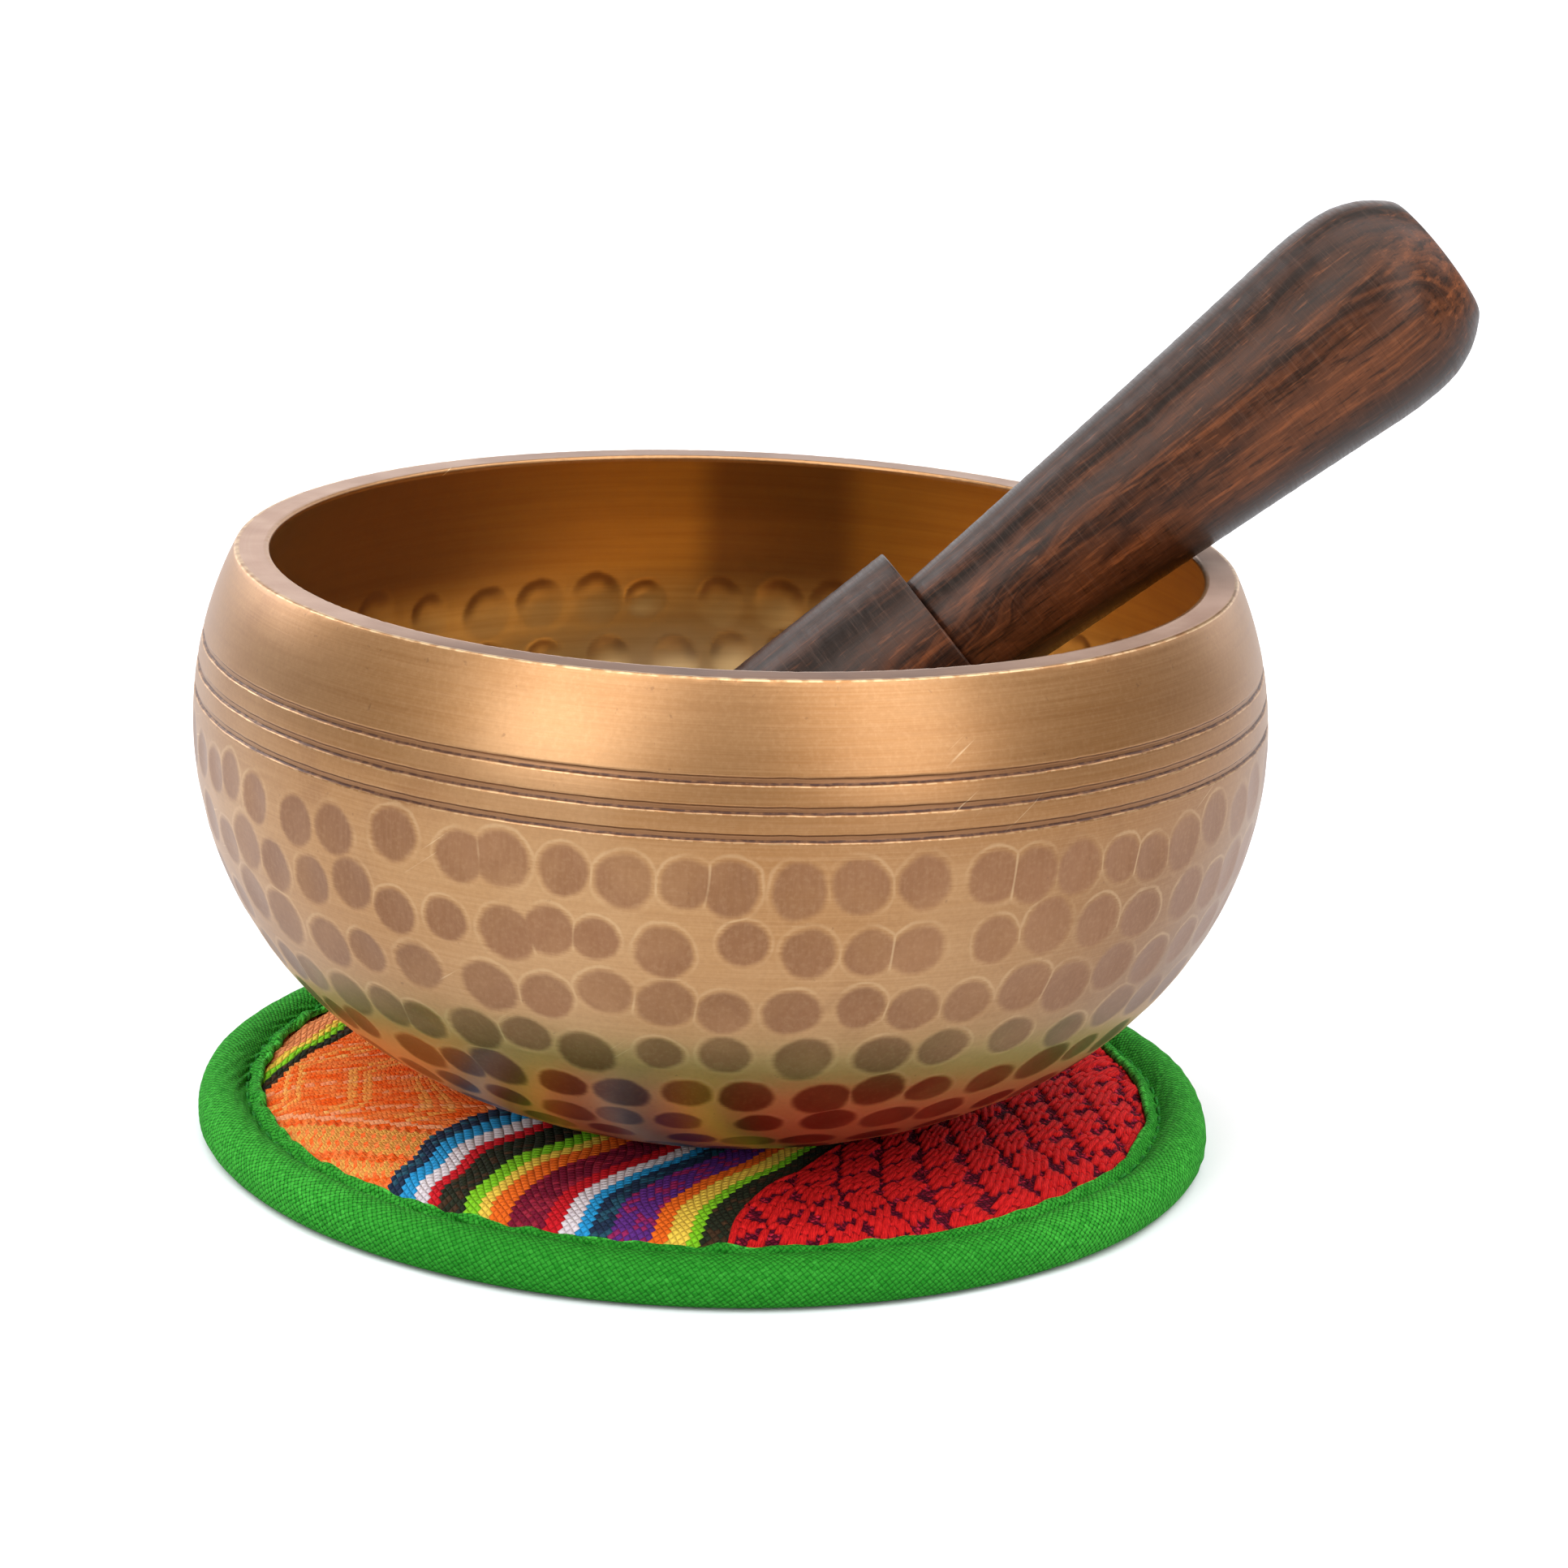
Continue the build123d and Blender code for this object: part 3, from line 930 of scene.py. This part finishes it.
def make_face(material):
    """Striped cloth over the padding, with its raised brocade floats as real relief."""
    gap = 0.2
    count = int(2 * face_edge / gap) + 1
    ticks = linspace(-face_edge, face_edge, count)
    x, y = np.meshgrid(ticks, ticks)
    p, q = stripe_place(x, y)
    on_right = smoothstep(p, stripe_end - 0.2, stripe_end + 0.4)
    on_stripes = smoothstep(p, stripe_start - 0.2, stripe_start + 0.2) * (1 - on_right)
    relief = 0.46 * satin_float(p, q) * on_right
    relief = relief + 0.08 * bead(p, q, diamond_cell(p, q, yarn), yarn) * on_stripes
    relief = relief + 0.16 * zigzag_ribs(p, q) * (1 - on_right) * (1 - on_stripes)
    radius = hypot(x, y)
    tucked = smoothstep(radius, 46.7, 47.5)
    z = face_surface(x, y) + relief * (1 - tucked) - 0.35 * tucked
    inside = radius < face_edge
    kept = inside[:-1, :-1] & inside[1:, :-1] & inside[:-1, 1:] & inside[1:, 1:]
    rows, columns = np.nonzero(kept)
    corners = stack([rows * count + columns, rows * count + columns + 1], -1)
    corners = concatenate([corners, corners[:, ::-1] + count], -1)
    used, faces = np.unique(corners, return_inverse=True)
    faces = faces.reshape(-1, 4)
    vertices = stack([x, y, z], -1).reshape(-1, 3)[used]
    weave = stack([p, q], -1).reshape(-1, 2)[used]
    uvs = {"weave": weave[faces].reshape(-1, 2)}
    piece = mesh_object("striped_face", vertices, faces.tolist(), material, uvs=uvs)
    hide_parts("mat_top_cloth")
    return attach(piece, "mat")


def striped_yarns(m, centre_p, centre_q):
    """Colour of each diamond of yarn from the stripe that its middle lies in."""
    low = stripe_start - panel_width - sum(width for _, width in left_stripes)
    stops, flecks, edge = [], [], low
    for name, width in (*left_stripes, ("orange", panel_width), *stripes):
        share = (edge - low) / (stripe_end - low)
        stops.append((share, *yarn_colours[name]))
        flecks.append((share, *fleck_colours.get(name, yarn_colours[name])))
        edge += width
    place = (centre_p - low) / (stripe_end - low)
    chance = m.white_noise(centre_p, centre_q)
    colour = m.colours(place, stops, "CONSTANT")
    colour = m.mix(chance.ramp(0.68, 0.74) * 0.7, colour, m.colours(place, flecks, "CONSTANT"))
    shift = m.white_noise(centre_q, centre_p, 4.0)
    darker = m.mix(1.0, colour, (0.55, 0.45, 0.5), "MULTIPLY")
    return m.mix(shift.ramp(0.3, 1.0) * 0.3, colour, darker)


def zigzag_panel(m, p, q, fine_p, fine_q):
    """Orange brocade: bands of upright yellow strokes in front, double zigzag lines behind."""
    first_band = below(abs(fine_q + 28.2), 3.3)
    second_band = below(abs(fine_q + 35.4), 2)
    last_band = below(fine_q, -38.6)
    bands = at_least(first_band + second_band, last_band * 0.4)
    yellow = below(upright_strokes(p, q), 0.56) * bands
    pink = below(abs(fine_q + 23.1), 0.55)
    steep = repeat(fine_p + abs(repeat(fine_q + 9, 18) - 9) * 0.42 + 49.3, 7.1)
    double = at_least(below(steep, 0.75), below(abs(steep - 2), 0.38))
    dotted = below(repeat(fine_q - fine_p * 0.62, 5.2), 0.8) * below(repeat(fine_p, 1.36), 0.9)
    behind = 1 - below(fine_q, -22)
    yellow = at_least(yellow, double * behind * 0.62)
    pink = at_least(pink, dotted * behind * 0.8)
    mottle = m.noise(m.combine((q - p * 0.6) * 1.1, (p + q * 0.4) * 0.35), 1, 3, 0.6)
    uneven = m.white_noise(fine_p, fine_q)
    return m.layers(
        rgb(255, 98, 24),
        (mottle.ramp(0.4, 0.6), 255, 138, 66),
        (uneven.ramp(0.5, 1) * 0.3, 228, 66, 16),
        (pink * 0.75, 255, 178, 128),
        (yellow * 0.8, m.mix(uneven, rgb(255, 206, 96), rgb(255, 176, 92))),
    )


def brocade():
    """Warp-faced stripes between an orange zigzag brocade and a red satin brocade."""
    m = Material("striped_brocade", Roughness=0.8, Specular_IOR_Level=0.12)
    weave = m.uv("weave")
    p, q, _ = weave.parts()
    centre, fine = diamond_cell(p, q, yarn), diamond_cell(p, q, fine_yarn)
    on_right = 1 - below(p, stripe_end)
    before_panel = below(centre[0], stripe_start - panel_width)
    on_panel = below(centre[0], stripe_start - 0.1) * (1 - before_panel)

    satin = satin_float(p, q)
    red_on = satin.ramp(0.1, 0.3) * on_right
    between = m.mix(m.white_noise(*fine).ramp(0.5, 1), rgb(92, 10, 38), rgb(196, 36, 64))
    strand = m.noise(m.combine(p * 9 + q * 1.2, q * 0.9), 1, 3, 0.65)
    red = m.mix(strand.ramp(0.35, 0.65), rgb(176, 12, 20), rgb(232, 36, 34))
    colour = m.layers(
        striped_yarns(m, *centre),
        (on_panel, zigzag_panel(m, p, q, *fine)),
        (on_right, m.mix(red_on, between, red)),
    )
    fibre = m.noise(weave, (9, 2.2, 0), 3, 0.6)
    colour = m.mix(fibre.ramp(0.35, 0.75) * 0.3, colour, (1, 0.94, 0.9), "SOFT_LIGHT")

    beads = bead(p, q, centre, yarn) * (1 - on_right) * (1 - on_panel)
    fine_beads = bead(p, q, fine, fine_yarn)
    panel_beads = on_panel * (fine_beads * 0.6 + zigzag_ribs(p, q) * 0.25 + 0.3)
    red_beads = (1 - red_on) * fine_beads * 0.7 + red_on * satin * 0.62 - 0.06
    top = beads + panel_beads + on_right * red_beads
    shadow = m.mix(1, colour, (0.34, 0.2, 0.2), "MULTIPLY")
    colour = m.mix(top.ramp(0.45, 0) * (on_right * 0.46 + 0.4), colour, shadow)
    red_height = on_right * fine_beads * (1 - red_on) + strand * red_on * 0.7
    height = beads * 1.1 + panel_beads + red_height + fibre * 0.15
    return m.set(Base_Color=colour, Normal=m.bump(height, 0.18, 1))


def binding_section():
    """The folded strip's (radius, height) section, from below round the edge to the seam."""
    corners = [
        (47.2, 0.45), (47.9, 0.05), (49.6, 0.0), (51.8, 0.0), (53.35, 0.35), (53.8, 1.7),
        (53.7, 3.2), (52.8, 4.5), (51.2, 5.05), (49.9, 4.75), (49.05, 3.95), (48.65, 3.5),
        (48.3, 3.8), (47.9, 4.4), (47.35, 4.5), (47.05, 4.1), (47.15, 3.6),
    ]
    line = array(corners)
    for _ in range(2):
        quarter = line[:-1] * 0.75 + line[1:] * 0.25
        three = line[:-1] * 0.25 + line[1:] * 0.75
        line = concatenate([line[:1], stack([quarter, three], 1).reshape(-1, 2), line[-1:]])
    return line


def make_binding(material):
    """Green bias strip: a round outer fold, a seam valley and a small puckered inner lip."""
    around = 1440
    angle = circle(around)
    gathered = 1.0 + 0.7 * cos(angle - radians(190))
    section = binding_section()
    normal = np.gradient(section, axis=0)
    normal = stack([normal[:, 1], -normal[:, 0]], -1)
    normal /= np.linalg.norm(normal, axis=1)[:, None]
    walked = np.cumsum([0.0, *np.linalg.norm(np.diff(section, axis=0), axis=1)])
    rows = []
    for point, out, along in zip(section, normal, walked):
        upper = smoothstep(point[1], 2.6, 4.2)
        lip = smoothstep(point[0], 49.0, 47.6) * upper
        valley = bell(point[0] - seam_radius) * upper
        free = smoothstep(point[1], 0.2, 1.5)
        waves = (
            (0.1 * free, 0.004, 5, 16, 100),
            (0.05 * free, 0.06, 40, 90, 101),
            (0.17 * lip * gathered, -0.03, 30, 90, 102),
            (0.2 * valley * gathered, 0.09, 50, 120, 103),
        )
        relief = sum(depth * ripple(angle + drift * along, *kind) for depth, drift, *kind in waves)
        shift = 0.24 * lip * ripple(angle, 6, 28, 104)
        radius = np.minimum(point[0] + relief * out[0] + shift, mat_radius + 0.15)
        rows.append(polar(radius, angle, np.maximum(point[1] + relief * out[1], 0)))
    corner = array([[0, 0], [0, 1], [1, 1], [1, 0]])
    row = np.repeat(np.arange(len(rows) - 1), around)
    column = np.tile(np.arange(around), len(rows) - 1)
    ring = (column[:, None] + corner[:, 1]) * (TURN * 50.2 / around)
    across = walked[row[:, None] + corner[:, 0]]
    uvs = {"weave": stack([ring, across], -1).reshape(-1, 2)}
    faces = grid_faces(len(rows), around)
    piece = mesh_object("green_binding", concatenate(rows), faces, material, uvs=uvs)
    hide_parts("edge_binding")
    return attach(piece, "mat")


def plain_weave(name, dark, light, pitch, slant, hem_radius=0, painted_front_shade=0):
    """Plain-woven cotton on a slant, with painted shade in its holes, a paler stitched hem and
    painted shade at the front.
    """
    m = Material(name, Roughness=0.9, Specular_IOR_Level=0.1)
    weave, place = m.uv("weave"), m.position()
    u, v, _ = weave.parts()
    x, y, _ = place.parts()
    sway = (m.noise(place, 0.22, 2) - 0.5) * 0.5
    a = (u * cos(slant) + v * sin(slant) + sway) / pitch
    b = (v * cos(slant) - u * sin(slant) + sway) / pitch
    over = repeat(floor(a) + floor(b), 2)

    def thread(across, along):
        """Height of a thread that dives under its neighbours at both ends of its cell."""
        across, along = across - floor(across) - 0.5, along - floor(along) - 0.5
        return at_least(1 - (across * 2.2) * (across * 2.2) - (along * 1.4) * (along * 1.4), 0)

    height = thread(a, b) * over + thread(b, a) * (1 - over)
    tone = m.white_noise(floor(a) * over, floor(b) * (1 - over))
    slub = m.noise(weave, (0.6, 3, 0))
    fuzz = m.noise(place, 1.8)
    pale = tuple(min(1, c * 1.8 + 0.02) for c in light)
    radius = m.combine(x, y).vector("LENGTH")
    hem = radius.ramp(hem_radius + 0.25, hem_radius) * below(repeat(u, 2.1), 1.5)
    colour = m.layers(
        dark,
        (tone * 0.35 + slub.ramp(0.3, 0.7) * 0.45 + 0.1, light),
        # Painted shade in the holes between the threads
        (height.ramp(0.4, 0) * 0.8, tuple(c * 0.2 for c in dark)),
        (fuzz.ramp(0.5, 0.8) * 0.3, pale),
        # Painted shade: darker towards the front
        (y.ramp(-34, -50) * painted_front_shade, tuple(c * 0.7 for c in dark)),
        (hem * 0.45, pale),
    )
    return m.set(Base_Color=colour, Normal=m.bump(height + fuzz * 0.3, 0.13, 0.9))


def make_stitching(material):
    """Ring of thread stitches that sink into the seam valley at both ends."""
    along_steps, round_steps = 12, 8
    share = linspace(-1, 1, along_steps)
    around = circle(round_steps)
    thick = 0.19 * (1 - 0.35 * share**4)
    height = 3.72 - 0.3 * share**4
    twist = share[:, None] * 4.5 + around[None, :]
    ply = thick[:, None] * (1 + 0.16 * cos(2 * twist))
    radius = seam_radius + ply * cos(around)
    z = height[:, None] + ply * sin(around)
    vertices, faces = [], []
    for number in range(stitch_count):
        middle = (number + 0.5) / stitch_count * TURN
        angle = middle + share * 0.98 / seam_radius
        first = number * along_steps * round_steps
        last = first + (along_steps - 1) * round_steps
        vertices.append(polar(radius, angle[:, None], z).reshape(-1, 3))
        faces += grid_faces(along_steps, round_steps, first)
        faces.append(list(range(first, first + round_steps)))
        faces.append(list(range(last, last + round_steps))[::-1])
    piece = mesh_object("seam_stitches", concatenate(vertices), faces, material)
    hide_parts("edge_stitching")
    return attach(piece, "mat")


def spun_thread():
    """Green sewing thread with its twist."""
    m = Material("green_thread", Roughness=0.7, Specular_IOR_Level=0.2)
    twist = m.noise(m.position(), 3, 2)
    colour = m.mix(twist.ramp(0.35, 0.65), rgb(14, 96, 22), rgb(40, 150, 48))
    return m.set(Base_Color=colour, Normal=m.bump(twist, 0.03, 0.8))


def make_lining(material):
    """Plain cloth under the mat, slightly drawn at the binding."""
    around = 360
    angle = circle(around)
    radius = linspace(0.6, 48.2, 90)[:, None]
    tuck = 0.9 * smoothstep(radius, 45, 47.4)
    drawn = 0.07 * ripple(angle, 20, 60, 110) * smoothstep(radius, 30, 44)
    z = 0.13 + tuck + drawn
    faces = grid_faces(len(radius), around)
    faces += fan_faces(len(radius) * around, range(around), True)
    vertices = concatenate([polar(radius, angle, z).reshape(-1, 3), [[0, 0, z[0].mean()]]])
    corners = concatenate([np.asarray(face) for face in faces])
    piece = mesh_object("lining", vertices, faces, material, uvs={"weave": vertices[corners, :2]})
    piece.data.flip_normals()
    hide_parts("mat_backing_cloth")
    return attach(piece, "mat")


def make_pad(material):
    """Felt padding between the cloths, dished under the bowl."""
    around, rings = 240, 70
    angle = circle(around)
    top_radii = linspace(0.6, pad_edge, rings)[:, None]
    bottom_radii = top_radii[::-1]
    radii = concatenate([top_radii, [[pad_edge + 0.35]], bottom_radii])
    top = face_surface(top_radii * cos(angle), top_radii * sin(angle)) - 0.78
    top = np.where(top_radii > 46.3, 3.0, np.minimum(top, 4.2))
    side = np.full((1, around), 2.2)
    bottom = 0.75 + 0.55 * smoothstep(bottom_radii, 45.5, 47.5) + 0 * angle
    felted = 0.04 * ripple(angle + 0.04 * radii, 9, 40, 120)
    z = concatenate([top, side, bottom]) + felted
    poles = [[0, 0, top[0, 0]], [0, 0, bottom[-1, 0]]]
    vertices = concatenate([polar(radii, angle, z).reshape(-1, 3), poles])
    piece = mesh_object("felt_pad", vertices, closed_faces(len(radii), around), material)
    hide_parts("mat_core")
    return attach(piece, "mat")


def felt():
    """Undyed wool felt."""
    m = Material("felt", Roughness=0.95, Specular_IOR_Level=0.1)
    tufts = m.noise(m.position(), 0.6, 5, 0.7)
    colour = m.mix(tufts.ramp(0.3, 0.7), rgb(176, 168, 150), rgb(206, 200, 186))
    return m.set(Base_Color=colour, Normal=m.bump(tufts, 0.2, 0.8))


# ---- studio


def placed(name, data, matrix):
    """Camera or lamp in the scene."""
    made = bpy.data.objects.new(name, data)
    made.matrix_world = matrix
    bpy.context.scene.collection.objects.link(made)
    return made


def make_camera():
    """Camera a little above the lip, level with the photographed view."""
    yaw, pitch, roll = 0.0125, -0.2777, 0.0418
    place = Vector((1.4, -461.8, 169.5)) * MM
    data = bpy.data.cameras.new("camera")
    data.lens, data.sensor_width = 104.9, 36.0
    data.clip_start, data.clip_end = 0.01, 20.0
    turns = ((-yaw, "Z"), (pi / 2 + pitch, "X"), (roll, "Z"))
    camera = placed("camera", data, placing(place, turns))
    bpy.context.scene.camera = camera


def make_floor():
    """Wide pale floor that throws less light back than it shows."""
    m = Material("pale_floor", Roughness=0.9, Specular_IOR_Level=0.1)
    speckle = m.noise(m.position(), 0.09)
    seen = m.new("ShaderNodeLightPath", output="Is Camera Ray")
    pale = m.mix(speckle, (0.93, 0.93, 0.93), (0.95, 0.95, 0.95))
    m.set(Base_Color=m.mix(seen, (0.6, 0.6, 0.6), pale))
    half = 6000
    corners = [(-half, -half, 0), (half, -half, 0), (half, half, 0), (-half, half, 0)]
    floor_piece = mesh_object("floor", corners, [(0, 1, 2, 3)], m.data)
    floor_piece.location.z = -0.05 * MM


def softbox(name, azimuth, elevation, distance, size, brightness):
    """Lamp aimed at the bowl, in metres; azimuth 0 is behind the camera, positive to the right."""
    azimuth, elevation = radians(azimuth), radians(elevation)
    aim = Vector((0, 0, 0.035))
    level = cos(elevation)
    way = Vector((sin(azimuth) * level, -cos(azimuth) * level, sin(elevation)))
    data = bpy.data.lights.new(name, "AREA")
    data.shape, data.size, data.size_y = "RECTANGLE", size[0], size[1]
    data.energy = brightness * pi * size[0] * size[1]
    data.color = (0.96, 0.99, 1.06)
    turn = way.to_track_quat("Z", "Y").to_matrix().to_4x4()
    placed(name, data, Matrix.Translation(aim + way * distance) @ turn)


def make_studio():
    """Pale surroundings with soft lamps beside the camera, above and behind."""
    world = bpy.data.worlds.new("studio")
    world.use_nodes = True
    background = world.node_tree.nodes["Background"]
    background.inputs["Color"].default_value = (1.0, 0.95, 0.88, 1.0)
    background.inputs["Strength"].default_value = 0.42
    bpy.context.scene.world = world
    bpy.context.scene.view_settings.view_transform = "Standard"
    softbox("key_left", -36, 31, 1.0, (0.56, 0.95), 3.15)
    softbox("key_right", 35, 29, 1.0, (0.5, 0.95), 2.8)
    softbox("overhead", 0, 88, 1.5, (2.0, 2.0), 2.3)
    softbox("side_left", -123, 26, 1.2, (0.55, 0.7), 4.0)
    softbox("side_right", 108, 42, 1.2, (0.9, 0.7), 1.5)
    softbox("backdrop", 180, 12, 3.4, (8.8, 1.8), 1.0)


# ---- assembly


make_bowl(bronze())
make_mallet(rosewood())
face = make_face(brocade())
green = (rgb(27, 128, 28), rgb(70, 182, 60))
binding = make_binding(plain_weave("green_cotton", *green, 0.48, radians(38), 47.35, 0.5))
lining = make_lining(plain_weave("lining", rgb(96, 14, 22), rgb(128, 24, 30), 0.5, 0.0))
stitches = make_stitching(spun_thread())
pad = make_pad(felt())

make_floor()
make_studio()
make_camera()
